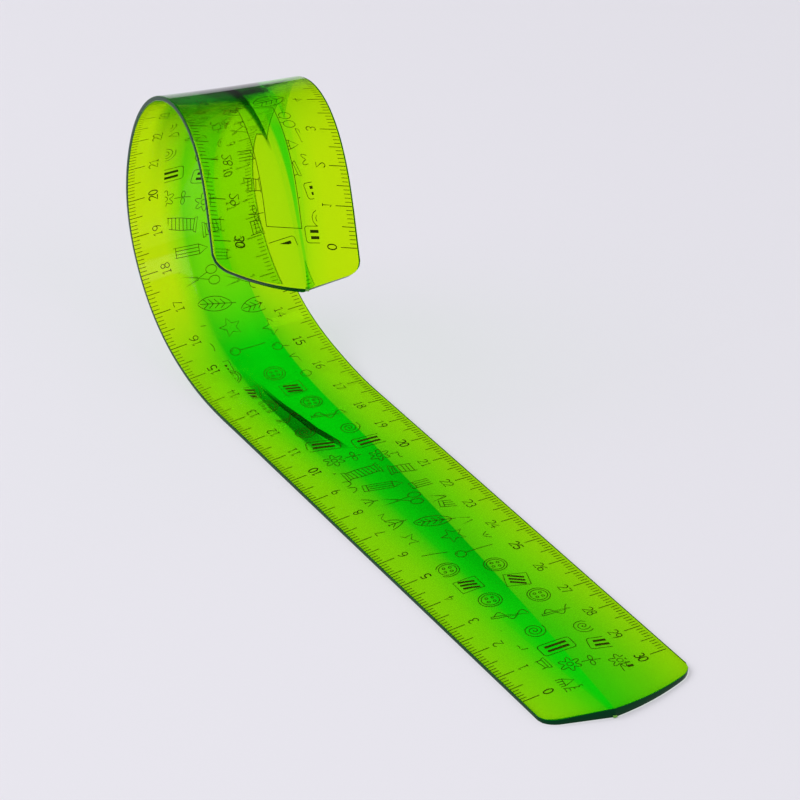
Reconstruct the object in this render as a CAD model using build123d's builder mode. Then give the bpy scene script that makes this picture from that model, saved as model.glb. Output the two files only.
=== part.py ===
"""Clear flexible ruler, lying on its printed face with its far end curled over itself.

The strip is one soft moulding on the real object. Here it is cut across into links that hinge
on each other, one for each centimetre of the bent stretch, and its rest shape is the curl.

The origin is the zero mark on the middle of the underside. X runs along the scale, Y to the
left edge and Z up. Lengths are in millimetres.
"""
import math
import os

from build123d import *

os.makedirs("parts", exist_ok=True)

# The strip: overhangs run from the end marks of the scale to the tips of the strip.
scale_length = 300.0
near_overhang = 14.0
far_overhang = 10.4
strip_width = 37.4
edge_thickness = 1.15
crest_thickness = 2.4

# The plan of each end: two sides that meet at a tip off the middle line.
tip_offset = 4.2
left_shoulder_set_back = 4.9
right_shoulder_set_back = 4.6
right_side_mid_set_back = 1.1
right_side_mid_offset = 7.1
corner_radius = 3.5

# The torn gate at each tip.
gate_width = 1.6
gate_proud = 0.7
gate_depth = 1.6
gate_thickness = 0.9
gate_lift = 0.5

# The thick middle is a leaf between two creases, widest half way along the strip.
leaf_half_width = 7.3
leaf_end_half_width = 0.5

# How the strip bends: each bend is its whole angle in degrees, its place along the scale and
# the length that it spreads over on each side. A positive angle lifts the far end.
bend_start = 125.0
long_bend_angle = 135.9
long_bend_from = 129.0
long_bend_from_spread = 24.0
long_bend_to = 290.4
long_bend_to_spread = 5.0
lower_bend_angle = 28.2
lower_bend_at = 166.2
lower_bend_spread = 15.6
middle_bend_angle = 21.2
middle_bend_at = 197.4
middle_bend_spread = 18.7
upper_bend_angle = 44.8
upper_bend_at = 253.9
upper_bend_spread = 22.4

# How the strip twists about its own middle line, stated in the same way.
first_twist_angle = -2.7
first_twist_at = 135.0
first_twist_spread = 10.0
middle_twist_angle = -5.1
middle_twist_at = 222.6
middle_twist_spread = 13.5
upper_twist_angle = -19.2
upper_twist_at = 257.9
upper_twist_spread = 25.1

# The links and the round-faced joints between them. The links share out what lies between the
# flat run and the free end, and are numbered by the centimetre mark that each one carries.
free_end_length = 25.4
link_count = 16
first_link_mark = 13
hinge_height = 0.6
hinge_radius = 1.9
hinge_clearance = 0.12

# How finely the middle line is followed, and how closely the long flat run is sectioned.
path_stride = 0.5
section_spacing = 20.0

# How far cutters and uncut links run past each cut, and the two end pieces past their outline.
overrun = 7.5
outline_margin = 1.0

half_width = strip_width / 2
near_tip = -near_overhang
far_tip = scale_length + far_overhang
strip_middle = (near_tip + far_tip) / 2
half_length = (far_tip - near_tip) / 2
link_length = (far_tip - free_end_length - bend_start) / link_count


def bell(place: float, angle: float, centre: float, spread: float) -> float:
    """Return the turn per millimetre, in radians, at a place on a bell-shaped bend."""
    return math.radians(angle) / (spread * math.sqrt(math.pi)) * math.exp(-(((place - centre) / spread) ** 2))


def bend_at(place: float) -> float:
    """Return how sharply the strip bends upward at a place, in radians per millimetre."""
    rise = math.tanh((place - long_bend_from) / long_bend_from_spread)
    fall = math.tanh((place - long_bend_to) / long_bend_to_spread)
    steady = math.radians(long_bend_angle) / (long_bend_to - long_bend_from) * (rise - fall) / 2
    lower = bell(place, lower_bend_angle, lower_bend_at, lower_bend_spread)
    middle = bell(place, middle_bend_angle, middle_bend_at, middle_bend_spread)
    upper = bell(place, upper_bend_angle, upper_bend_at, upper_bend_spread)
    return steady + lower + middle + upper


def twist_at(place: float) -> float:
    """Return how sharply the strip twists at a place, in radians per millimetre."""
    first = bell(place, first_twist_angle, first_twist_at, first_twist_spread)
    middle = bell(place, middle_twist_angle, middle_twist_at, middle_twist_spread)
    upper = bell(place, upper_twist_angle, upper_twist_at, upper_twist_spread)
    return first + middle + upper


def turned(vector: Vector, axis: Vector, angle: float) -> Vector:
    """Return a vector turned about a unit axis by an angle in radians."""
    along = axis * (axis.dot(vector) * (1 - math.cos(angle)))
    return vector * math.cos(angle) + axis.cross(vector) * math.sin(angle) + along


def frame_at(place: float) -> tuple:
    """Return the point on the underside's middle line, the forward and the leftward direction."""
    forward = Vector(1, 0, 0)
    leftward = Vector(0, 1, 0)
    if place <= bend_start:
        return Vector(place, 0, 0), forward, leftward
    point = Vector(bend_start, 0, 0)
    steps = math.ceil((place - bend_start) / path_stride)
    stride = (place - bend_start) / steps
    for step in range(steps):
        here = bend_start + stride * (step + 0.5)
        spin = forward * (twist_at(here) * stride) - leftward * (bend_at(here) * stride)
        angle = spin.length
        axis = spin.normalized()
        point = point + turned(forward, axis, angle / 2) * stride
        forward = turned(forward, axis, angle)
        leftward = turned(leftward, axis, angle)
    return point, forward, leftward


def section_plane(place: float) -> Plane:
    """Return the plane across the strip: its X is leftward and its Y is up through the strip."""
    point, forward, leftward = frame_at(place)
    return Plane(origin=point, x_dir=leftward, z_dir=forward)


def hinge_plane(seam: float, before: float, after: float) -> Plane:
    """Return the plane square to a hinge: Z is the hinge line and X runs forward.

    The hinge line is the one that turns the frame of the link before into that of the link after.
    """
    point, forward, leftward = frame_at(seam)
    _, forward_before, leftward_before = frame_at(before)
    _, forward_after, leftward_after = frame_at(after)
    up_before = forward_before.cross(leftward_before)
    up_after = forward_after.cross(leftward_after)
    line = forward_before.cross(forward_after) + leftward_before.cross(leftward_after) + up_before.cross(up_after)
    line = line.normalized()
    centre = point + forward.cross(leftward) * hinge_height
    return Plane(origin=centre, x_dir=forward - line * forward.dot(line), z_dir=line)


def creases_at(place: float) -> tuple:
    """Return how far left the right and the left crease lie at a place along the strip."""
    share_from_middle = (place - strip_middle) / half_length
    middle = -tip_offset * share_from_middle
    half = leaf_end_half_width + (leaf_half_width - leaf_end_half_width) * (1 - share_from_middle**2)
    return middle - half, middle + half


def strip_section(place: float, plane: Plane, margin: float, drop: float) -> Sketch:
    """Return the strip's section at a place, on a plane, for the outline to trim.

    Its sides are moved out by the margin and its underside is moved down by the drop.
    """
    right_crease, left_crease = creases_at(place)
    fall = crest_thickness - edge_thickness
    right_thickness = edge_thickness - fall * margin / (half_width + right_crease)
    left_thickness = edge_thickness - fall * margin / (half_width - left_crease)
    side = half_width + margin
    with BuildSketch(plane) as section:
        with BuildLine():
            Polyline(
                (-side, -drop),
                (side, -drop),
                (side, left_thickness),
                (left_crease, crest_thickness),
                (right_crease, crest_thickness),
                (-side, right_thickness),
                close=True,
            )
        make_face()
    return section.sketch


def flat_sections(places: list) -> list:
    """Return sections of the flat run, with a margin at the sides and below the table."""
    planes = [Plane(origin=(place, 0, 0), x_dir=(0, 1, 0), z_dir=(1, 0, 0)) for place in places]
    return [strip_section(place, plane, outline_margin, outline_margin) for place, plane in zip(places, planes)]


def bent_sections(places: list, margin: float) -> list:
    """Return sections of the bent stretch, square to its middle line."""
    return [strip_section(place, section_plane(place), margin, 0) for place in places]


def behind_round_nose(plane: Plane) -> Sketch:
    """Return what is cut away behind a hinge to leave a round nose about the hinge line."""
    with BuildSketch(plane) as cut:
        with Locations((-half_width, 0)):
            Rectangle(strip_width, strip_width)
        Circle(hinge_radius, mode=Mode.SUBTRACT)
    return cut.sketch


def ahead_of_hollow_end(plane: Plane) -> Sketch:
    """Return what is cut away ahead of a hinge, with the hollow for the next piece's nose."""
    with BuildSketch(plane) as cut:
        with Locations((half_width, 0)):
            Rectangle(strip_width, strip_width)
        Circle(hinge_radius + hinge_clearance)
    return cut.sketch


def end_outline(plane: Plane, length: float) -> Sketch:
    """Return the plan of an end of the strip: the plane's X points back from the tip."""
    left_shoulder = (left_shoulder_set_back, half_width)
    right_shoulder = (right_shoulder_set_back, -half_width)
    right_mid = (right_side_mid_set_back, -right_side_mid_offset)
    with BuildSketch(plane) as outline:
        with BuildLine():
            Line((0, tip_offset), left_shoulder)
            Line(left_shoulder, (length, half_width))
            Line((length, half_width), (length, -half_width))
            Line((length, -half_width), right_shoulder)
            ThreePointArc(right_shoulder, right_mid, (0, tip_offset))
        make_face()
        corners = outline.vertices().filter_by(lambda corner: abs(corner.Y) > half_width - corner_radius)
        shoulders = corners.filter_by(lambda corner: corner.X < length / 2)
        fillet(shoulders, radius=corner_radius)
    return outline.sketch


def gate_outline(plane: Plane) -> Sketch:
    """Return the plan of the torn gate at a tip, on its underside's plane."""
    with BuildSketch(plane.offset(gate_lift)) as outline:
        with Locations(((gate_depth - gate_proud) / 2, tip_offset)):
            Rectangle(gate_depth + gate_proud, gate_width)
    return outline.sketch


seams = [bend_start + link_length * index for index in range(link_count + 1)]
frame_places = [bend_start - link_length / 2]
frame_places += [seam + link_length / 2 for seam in seams[:-1]]
frame_places.append(far_tip)
hinge_planes = [hinge_plane(seam, frame_places[i], frame_places[i + 1]) for i, seam in enumerate(seams)]

# The flat run, from the near tip to the first hinge.
run_length = bend_start + near_overhang
run_parts = math.ceil(run_length / section_spacing)
run_places = [near_tip + run_length * index / run_parts for index in range(run_parts + 1)]
near_plane = Plane(origin=(near_tip, 0, 0), x_dir=(1, 0, 0), z_dir=(0, 0, 1))
with BuildPart() as lying_run:
    loft(flat_sections([near_tip - outline_margin] + run_places + [bend_start + overrun]))
    extrude(end_outline(near_plane, run_length + strip_width), amount=overrun, mode=Mode.INTERSECT)
    extrude(gate_outline(near_plane), amount=gate_thickness)
    extrude(ahead_of_hollow_end(hinge_planes[0]), amount=strip_width, both=True, mode=Mode.SUBTRACT)
lying_run.part.label = "lying_run"
export_step(lying_run.part, "parts/lying_run.step")

# One link for each centimetre mark of the bent stretch.
for index in range(link_count):
    start = seams[index]
    stop = seams[index + 1]
    mark = first_link_mark + index
    with BuildPart() as flex_link:
        loft(bent_sections([start - overrun, start, (start + stop) / 2, stop, stop + overrun], 0))
        extrude(behind_round_nose(hinge_planes[index]), amount=strip_width, both=True, mode=Mode.SUBTRACT)
        extrude(ahead_of_hollow_end(hinge_planes[index + 1]), amount=strip_width, both=True, mode=Mode.SUBTRACT)
    flex_link.part.label = f"flex_link_{mark}"
    export_step(flex_link.part, f"parts/flex_link_{mark}.step")

# The free end, from the last hinge to the far tip.
tip_point, tip_forward, tip_leftward = frame_at(far_tip)
tip_up = tip_forward.cross(tip_leftward)
tip_plane = Plane(origin=tip_point, x_dir=tip_forward * -1, z_dir=tip_up)
below_tip = tip_plane.offset(-overrun)
with BuildPart() as free_end:
    end_places = [seams[-1] - overrun, seams[-1], (seams[-1] + far_tip) / 2, far_tip + outline_margin]
    loft(bent_sections(end_places, outline_margin))
    extrude(end_outline(below_tip, free_end_length + strip_width), amount=2 * overrun, mode=Mode.INTERSECT)
    extrude(gate_outline(tip_plane), amount=gate_thickness)
    extrude(behind_round_nose(hinge_planes[-1]), amount=strip_width, both=True, mode=Mode.SUBTRACT)
free_end.part.label = "free_end"
export_step(free_end.part, "parts/free_end.step")
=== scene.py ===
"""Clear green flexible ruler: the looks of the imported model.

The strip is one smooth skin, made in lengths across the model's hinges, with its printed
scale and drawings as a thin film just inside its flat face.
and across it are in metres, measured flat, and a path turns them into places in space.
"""

import logging
import math
from dataclasses import dataclass, field
from enum import Enum, IntEnum

import bmesh
import bpy
import numpy as np
from mathutils import Matrix, Vector


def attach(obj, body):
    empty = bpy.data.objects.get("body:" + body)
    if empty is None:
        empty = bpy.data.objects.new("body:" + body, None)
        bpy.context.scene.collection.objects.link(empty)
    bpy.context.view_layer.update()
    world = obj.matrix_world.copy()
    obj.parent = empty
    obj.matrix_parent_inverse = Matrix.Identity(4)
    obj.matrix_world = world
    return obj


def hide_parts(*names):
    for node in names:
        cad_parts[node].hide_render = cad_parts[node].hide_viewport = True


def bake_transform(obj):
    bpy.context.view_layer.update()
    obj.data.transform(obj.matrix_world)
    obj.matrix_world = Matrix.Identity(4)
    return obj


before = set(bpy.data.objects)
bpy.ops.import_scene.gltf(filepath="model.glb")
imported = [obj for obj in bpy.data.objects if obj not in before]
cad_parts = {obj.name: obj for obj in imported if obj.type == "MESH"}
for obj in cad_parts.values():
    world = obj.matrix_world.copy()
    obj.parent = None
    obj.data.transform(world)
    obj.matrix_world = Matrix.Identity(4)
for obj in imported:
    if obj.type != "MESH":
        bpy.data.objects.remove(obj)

LOG = logging.getLogger("ruler")
MM = 0.001
PLACE_LAYER = "strip_place"
NEARLY = 1e-4
PLASTIC_IOR = 1.49


@dataclass(frozen=True)
class Bend:
    """A bell-shaped bend or twist of the strip.

    Attributes:
        angle: its whole angle in degrees.
        place: where it is strongest, along the strip.
        spread: the length that it spreads over on each side.
    """

    angle: float
    place: float
    spread: float

    def turn(self, place: float) -> float:
        """Return its turn in radians per metre at a place."""
        share = (place - self.place) / self.spread
        return math.radians(self.angle) / (self.spread * math.sqrt(math.pi)) * math.exp(-share * share)


@dataclass
class StripPath:
    """The middle line of the strip's underside, and the frame that travels along it.

    Attributes:
        start: where the strip begins to bend.
        stride: the length of one step along it.
        end: how far it is followed.
        long_angle: the whole angle of the long, even bend, in degrees.
        long_from: where the long bend begins.
        long_from_spread: the length that its beginning spreads over.
        long_to: where the long bend ends.
        long_to_spread: the length that its end spreads over.
        bends: the further bends, upward where positive.
        twists: the twists about the middle line.
        table: the frames found, one row for each step.
    """

    start: float = 125.0 * MM
    stride: float = 0.25 * MM
    end: float = 316.0 * MM
    long_angle: float = 135.9
    long_from: float = 129.0 * MM
    long_from_spread: float = 24.0 * MM
    long_to: float = 290.4 * MM
    long_to_spread: float = 5.0 * MM
    bends: tuple = (
        Bend(28.2, 166.2 * MM, 15.6 * MM),
        Bend(21.2, 197.4 * MM, 18.7 * MM),
        Bend(44.8, 253.9 * MM, 22.4 * MM),
    )
    twists: tuple = (
        Bend(-2.7, 135.0 * MM, 10.0 * MM),
        Bend(-5.1, 222.6 * MM, 13.5 * MM),
        Bend(-19.2, 257.9 * MM, 25.1 * MM),
    )
    table: np.ndarray = field(init=False, repr=False)

    def __post_init__(self) -> None:
        """Walk the path once and keep its frames."""
        self.table = np.array(self._walk())

    def _bend_at(self, place: float) -> float:
        """Return how sharply the strip bends upward at a place, in radians per metre."""
        rise = math.tanh((place - self.long_from) / self.long_from_spread)
        fall = math.tanh((place - self.long_to) / self.long_to_spread)
        steady = math.radians(self.long_angle) / (self.long_to - self.long_from) * (rise - fall) / 2
        return steady + sum(bend.turn(place) for bend in self.bends)

    def _walk(self) -> list:
        """Return one row for each stride: point, forward, leftward."""
        point = Vector((self.start, 0, 0))
        forward = Vector((1, 0, 0))
        leftward = Vector((0, 1, 0))
        rows = [(*point, *forward, *leftward)]
        for step in range(math.ceil((self.end - self.start) / self.stride)):
            here = self.start + self.stride * (step + 0.5)
            twist = sum(item.turn(here) for item in self.twists)
            spin = (forward * twist - leftward * self._bend_at(here)) * self.stride
            half = Matrix.Rotation(spin.length / 2, 3, spin)
            point = point + half @ forward * self.stride
            forward = half @ half @ forward
            leftward = half @ half @ leftward
            rows.append((*point, *forward, *leftward))
        return rows

    def frames(self, places: np.ndarray) -> tuple:
        """Return the frames at many places.

        Args:
            places: places along the strip.

        Returns:
            Points, forward, leftward and up directions, one row for each place.
        """
        index = np.clip((places - self.start) / self.stride, 0, len(self.table) - 1.001)
        low = index.astype(int)
        share = (index - low)[:, None]
        rows = self.table[low] * (1 - share) + self.table[low + 1] * share
        forward = rows[:, 3:6] / np.linalg.norm(rows[:, 3:6], axis=1)[:, None]
        leftward = rows[:, 6:9] / np.linalg.norm(rows[:, 6:9], axis=1)[:, None]
        before = np.minimum(places - self.start, 0)[:, None]
        points = rows[:, 0:3] + forward * before
        return points, forward, leftward, np.cross(forward, leftward)

    def to_space(self, flat: np.ndarray) -> np.ndarray:
        """Return where flat places lie in space.

        Args:
            flat: rows of place along the strip, place across it, and height above the underside.

        Returns:
            Rows of x, y and z.
        """
        points, _, leftward, up = self.frames(flat[:, 0])
        return points + leftward * flat[:, 1:2] + up * flat[:, 2:3]

    def middle(self, place: float) -> Vector:
        """Return the middle line's point at one place."""
        return Vector(self.frames(np.array([place]))[0][0])


@dataclass
class StripShape:
    """Sizes of the moulded strip, laid flat.

    Attributes:
        near_tip: where the near tip lies along the strip.
        far_tip: where the far tip lies.
        half_width: half its width.
        edge: its thickness at the sides.
        crest: its thickness between the creases.
        tip_offset: how far each tip lies off the middle line.
        left_shoulder: how far the end is set back at the side nearer the tip.
        right_shoulder: how far it is set back at the other side.
        corner: the length over which each corner is rounded.
        corner_share: how much of a full round each corner is set back by.
        right_sweep: how far the end is set back at right_sweep_at.
        right_sweep_at: a place that far past the middle line, away from the tip.
        leaf: half the width between the creases, half way along.
        leaf_end: the same at the tips.
    """

    near_tip: float = -14.0 * MM
    far_tip: float = 310.4 * MM
    half_width: float = 18.7 * MM
    edge: float = 1.15 * MM
    crest: float = 2.4 * MM
    tip_offset: float = 4.2 * MM
    left_shoulder: float = 4.9 * MM
    right_shoulder: float = 4.6 * MM
    corner: float = 3.5 * MM
    corner_share: float = 0.72
    right_sweep: float = 1.1 * MM
    right_sweep_at: float = 7.1 * MM
    leaf: float = 7.3 * MM
    leaf_end: float = 0.5 * MM

    def creases(self, place: np.ndarray) -> tuple:
        """Return how far left the right and the left crease lie at places along the strip."""
        share = (place - (self.near_tip + self.far_tip) / 2) / ((self.far_tip - self.near_tip) / 2)
        share = np.clip(share, -1, 1)
        middle = -self.tip_offset * share
        half = self.leaf_end + (self.leaf - self.leaf_end) * (1 - share**2)
        return middle - half, middle + half

    def set_back(self, across: np.ndarray) -> np.ndarray:
        """Return how far the end's outline lies behind its tip.

        Args:
            across: places across the strip, with the tip on the positive side.

        Returns:
            The set back at each place.
        """
        left_run = self.half_width - self.tip_offset
        left_slope = self.left_shoulder / left_run
        left = (across - self.tip_offset) * left_slope
        right_run = self.half_width + self.tip_offset
        away = (self.tip_offset - across) / right_run
        bow = self.right_sweep / self.right_shoulder
        at = (self.tip_offset + self.right_sweep_at) / right_run
        power = math.log(bow) / math.log(at)
        right = self.right_shoulder * np.abs(away) ** power
        plain = np.where(across > self.tip_offset, left, right)
        inner = self.half_width - self.corner
        over = np.clip((np.abs(across) - inner) / self.corner, 0, 1)
        round_off = self.corner * (1 - np.sqrt(np.maximum(1 - over**2, 0)))
        return plain + round_off * self.corner_share

    def near_edge(self, across: np.ndarray) -> np.ndarray:
        """Return the near end's outline: a place along the strip for each place across."""
        return self.near_tip + self.set_back(across)

    def far_edge(self, across: np.ndarray) -> np.ndarray:
        """Return the far end's outline, which is the near one turned half round."""
        return self.far_tip - self.set_back(-across)


def feed(tree: bpy.types.NodeTree, node: bpy.types.Node, inputs: dict) -> None:
    """Link or set a node's inputs.

    Args:
        tree: the nodes that it is among.
        node: the node.
        inputs: a socket to read, or a constant, for each input by its name or number.
    """
    for key, value in inputs.items():
        if isinstance(value, bpy.types.NodeSocket):
            tree.links.new(value, node.inputs[key])
        else:
            node.inputs[key].default_value = value


def add(tree: bpy.types.NodeTree, kind: str, inputs: dict, **settings: object) -> bpy.types.Node:
    """Add a shader node.

    Args:
        tree: the nodes that take it.
        kind: its type, without the leading ShaderNode.
        inputs: what its inputs take, as feed has it.
        settings: its own settings, such as an operation.

    Returns:
        The node.
    """
    node = tree.nodes.new("ShaderNode" + kind)
    for name, value in settings.items():
        setattr(node, name, value)
    feed(tree, node, inputs)
    return node


def arithmetic(tree: bpy.types.NodeTree, operation: str, *values: object) -> bpy.types.NodeSocket:
    """Add a node of arithmetic.

    Args:
        tree: the nodes that take it.
        operation: the node's operation.
        values: one or two values, each a socket or a number.

    Returns:
        The result.
    """
    return add(tree, "Math", dict(enumerate(values)), operation=operation).outputs["Value"]


def spread(
    tree: bpy.types.NodeTree, value: bpy.types.NodeSocket, start: float, stop: float, soft: bool = False
) -> bpy.types.NodeSocket:
    """Add a node that spreads a value from 0 at one place to 1 at another.

    Args:
        tree: the nodes that take it.
        value: what it reads.
        start: where it gives 0.
        stop: where it gives 1.
        soft: whether it starts and stops gently.

    Returns:
        What it gives.
    """
    inputs = {"Value": value, "From Min": start, "From Max": stop}
    style = "SMOOTHSTEP" if soft else "LINEAR"
    return add(tree, "MapRange", inputs, interpolation_type=style).outputs["Result"]


def ramp(tree: bpy.types.NodeTree, fac: bpy.types.NodeSocket, stops: list) -> bpy.types.NodeSocket:
    """Add a colour ramp.

    Args:
        tree: the nodes that take it.
        fac: what it reads.
        stops: positions, each with a colour.

    Returns:
        Its colour.
    """
    node = add(tree, "ValToRGB", {"Fac": fac})
    elements = node.color_ramp.elements
    while len(elements) < len(stops):
        elements.new(0.5)
    for element, (position, colour) in zip(elements, stops):
        element.position = position
        element.color = (*colour, 1.0)
    return node.outputs["Color"]


def mix_colours(
    tree: bpy.types.NodeTree, share: object, first: object, second: object, blend: str = "MIX"
) -> bpy.types.NodeSocket:
    """Add a colour mix, whose sockets go by number because its other kinds share their names.

    Args:
        tree: the nodes that take it.
        share: how much of the second colour it takes, a socket or a number.
        first: the first colour's socket.
        second: the second colour, a socket or four numbers.
        blend: how it blends the two.

    Returns:
        The mixed colour, never over 1 where one is divided by the other.
    """
    inputs = {"Factor": share, 6: first, 7: second}
    kept = blend == "DIVIDE"
    return add(tree, "Mix", inputs, data_type="RGBA", blend_type=blend, clamp_result=kept).outputs[2]


class Finish(Enum):
    """The finishes of the ruler and its stage."""

    CLEAR = "clear_green_plastic"
    PRINTED = "clear_green_printed_face"
    SIDE = "moulded_side"
    SEAM = "unseen_seam"
    TORN = "torn_gate"
    INK = "black_ink"
    TABLE = "pale_table"

    def blank(self) -> bpy.types.Material:
        """Return a new material of this name with a plain shader."""
        material = bpy.data.materials.new(self.value)
        material.use_nodes = True
        return material


class SkinSlot(IntEnum):
    """The places of the skin's finishes."""

    UPPER = 0
    PRINTED = 1
    SIDE = 2
    SEAM = 3


@dataclass(frozen=True)
class TintRow:
    """What one pass through the strip lets through, across one stretch of it.

    Its places along the strip are in millimetres. The rows where the strip lies on the table are darker, with
    painted shade.

    Attributes:
        start: where it begins to take over from the row before.
        full: where it holds alone.
        stops: positions from 0 at the right side to 1 at the left, each with red and green.
    """

    start: float
    full: float
    stops: tuple


@dataclass(frozen=True)
class Streak:
    """A darker streak over the tint, painted along the strip; most are painted shade.

    Its places along the strip are in millimetres, and those across it run from 0 to 1.

    Attributes:
        shade: what it leaves of each colour.
        firm: how much of its half width is fully dark.
        knots: a place, a middle across, a half width across and a strength for each knot.
    """

    shade: tuple
    firm: float
    knots: tuple


@dataclass(frozen=True)
class ClearGreen:
    """Clear green soft plastic, deepest between the creases, and darker at the bend and on the curl's
    top with painted shade.

    The upper face carries the whole tint of one pass through the strip, and the painted shade,
    over the printed face's even one.

    Attributes:
        rows: the tint across the strip, for stretches along it.
        streaks: darker marks over the rows; all but the one on the tip are painted shade.
        blue: how much blue one pass lets through.
        roughness: how rough its surface is.
        ior: how strongly it bends light.
        gloss: how strongly the upper face mirrors.
        printed_gloss: how strongly the printed face mirrors.
        slant: how much deeper the tint is where it is seen at a slant.
        graze: how much deeper it is where it is seen edge on.
        graze_power: how near to edge on that begins.
        printed: the tint of the printed face.
        cast: the tint that each face gives to the lamps' light.
        kept_light: the dim green painted glow where light can't leave the plastic.
        kept_after: how many mirrorings inside start the painted glow.
    """

    # Across the strip the rows follow its thickness. The rows over the flat run are darker than those of the
    # curl and the tip: painted shade, for the strip's shade on the table beneath it.
    rows: tuple = (
        TintRow(0.0, 0.0, (
            (0.0, (0.445, 0.87)), (0.12, (0.2, 0.77)), (0.22, (0.08, 0.75)), (0.248, (0.06, 0.75)),
            (0.252, (0.008, 0.84)), (0.55, (0.01, 0.83)), (0.72, (0.035, 0.82)), (0.78, (0.11, 0.83)),
            (0.85, (0.23, 0.84)), (1.0, (0.38, 0.85)),
        )),
        TintRow(10.0, 55.0, (
            (0.0, (0.46, 0.87)), (0.15, (0.24, 0.84)), (0.248, (0.14, 0.74)), (0.252, (0.001, 0.58)),
            (0.35, (0.001, 0.62)), (0.5, (0.005, 0.72)), (0.58, (0.02, 0.74)), (0.66, (0.1, 0.76)),
            (0.72, (0.15, 0.78)), (0.78, (0.22, 0.82)), (0.86, (0.32, 0.85)), (1.0, (0.38, 0.87)),
        )),
        TintRow(85.0, 118.0, (
            (0.0, (0.45, 0.91)), (0.15, (0.33, 0.88)), (0.248, (0.16, 0.81)), (0.252, (0.001, 0.77)),
            (0.42, (0.001, 0.83)), (0.64, (0.001, 0.75)), (0.72, (0.004, 0.7)), (0.76, (0.11, 0.81)),
            (0.85, (0.28, 0.87)), (1.0, (0.44, 0.89)),
        )),
        TintRow(150.0, 178.0, (
            (0.0, (0.6, 0.92)), (0.2, (0.48, 0.9)), (0.248, (0.35, 0.87)), (0.252, (0.2, 0.87)),
            (0.6, (0.2, 0.86)), (0.7, (0.16, 0.8)), (0.764, (0.35, 0.88)), (0.84, (0.6, 0.93)),
            (1.0, (0.66, 0.93)),
        )),
        TintRow(256.0, 279.0, (
            (0.0, (0.66, 0.98)), (0.15, (0.63, 0.98)), (0.22, (0.55, 0.97)), (0.27, (0.42, 0.92)),
            (0.7, (0.41, 0.9)), (0.77, (0.5, 0.93)), (1.0, (0.6, 0.95)),
        )),
    )
    streaks: tuple = (
        # Painted shade at the bend: a darker zone by the left crease, for the curl's shadow.
        Streak((0.2, 0.3, 0.4), 0.85, (
            (105.0, 0.65, 0.09, 0.0), (116.0, 0.67, 0.075, 0.9), (125.0, 0.68, 0.06, 0.8),
            (134.0, 0.69, 0.05, 0.6), (146.0, 0.71, 0.03, 0.0),
        )),
        # Painted shade at the bend: a thin dark line across the leaf, for the shadow of the curl's edge.
        Streak((0.02, 0.13, 0.2), 0.7, (
            (104.0, 0.48, 0.03, 0.0), (107.5, 0.505, 0.034, 0.7), (111.0, 0.535, 0.04, 1.0),
            (116.0, 0.577, 0.04, 1.0), (122.0, 0.6, 0.036, 1.0), (130.0, 0.636, 0.03, 0.9),
            (136.0, 0.65, 0.022, 0.5), (141.0, 0.655, 0.016, 0.0),
        )),
        # Painted shade on the curl's top: a darker zone across the strip.
        Streak((0.03, 0.38, 0.3), 0.8, (
            (200.0, 0.56, 0.36, 0.0), (213.0, 0.56, 0.36, 0.22), (226.0, 0.57, 0.36, 0.5),
            (238.0, 0.58, 0.36, 0.95), (247.0, 0.58, 0.34, 1.0), (253.0, 0.6, 0.3, 0.7),
            (262.0, 0.62, 0.24, 0.0),
        )),
        # A darker band along the middle of the tip.
        Streak((0.2, 0.92, 1.0), 0.4, (
            (262.0, 0.5, 0.1, 0.0), (270.0, 0.5, 0.14, 0.9), (278.0, 0.5, 0.12, 1.0),
            (288.0, 0.5, 0.08, 0.9), (296.0, 0.49, 0.08, 0.6), (303.0, 0.43, 0.11, 0.5),
            (310.0, 0.38, 0.15, 0.8),
        )),
        # Painted shade on the curl's top: a thin dark stroke by the left crease.
        Streak((0.06, 0.3, 0.1), 0.4, (
            (240.0, 0.72, 0.09, 0.0), (247.0, 0.728, 0.08, 0.8), (254.0, 0.738, 0.055, 1.0),
            (264.0, 0.745, 0.034, 1.0), (271.0, 0.749, 0.018, 1.0), (277.0, 0.751, 0.008, 0.0),
        )),
    )
    blue: float = 0.004
    roughness: float = 0.03
    ior: float = PLASTIC_IOR
    gloss: float = 0.7
    printed_gloss: float = 0.15
    slant: float = 0.3
    graze: float = 3.0
    graze_power: float = 6.0
    printed: tuple = (0.64, 0.985, 0.004)
    cast: tuple = (0.87, 0.99, 0.84)
    kept_light: tuple = (0.0, 0.05, 0.003)
    kept_after: float = 1.5

    @staticmethod
    def _streaked(
        tree: bpy.types.NodeTree, tint: bpy.types.NodeSocket, places: tuple, streak: Streak
    ) -> bpy.types.NodeSocket:
        """Darken the tint along one streak.

        Args:
            tree: the group that takes it.
            tint: the tint so far.
            places: where the place along and the place across are read.
            streak: the streak.

        Returns:
            The darkened tint.
        """
        along, across = places
        start, stop = streak.knots[0][0], streak.knots[-1][0]
        stops = [((place - start) / (stop - start), values) for place, *values in streak.knots]
        knots = ramp(tree, spread(tree, along, start * MM, stop * MM), stops)
        middle, half, strength = add(tree, "SeparateColor", {0: knots}).outputs
        away = arithmetic(tree, "ABSOLUTE", arithmetic(tree, "SUBTRACT", across, middle))
        inside = spread(tree, arithmetic(tree, "DIVIDE", away, half), 1.0, streak.firm, soft=True)
        share = arithmetic(tree, "MULTIPLY", inside, strength)
        return mix_colours(tree, share, tint, (*streak.shade, 1.0), "MULTIPLY")

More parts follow.
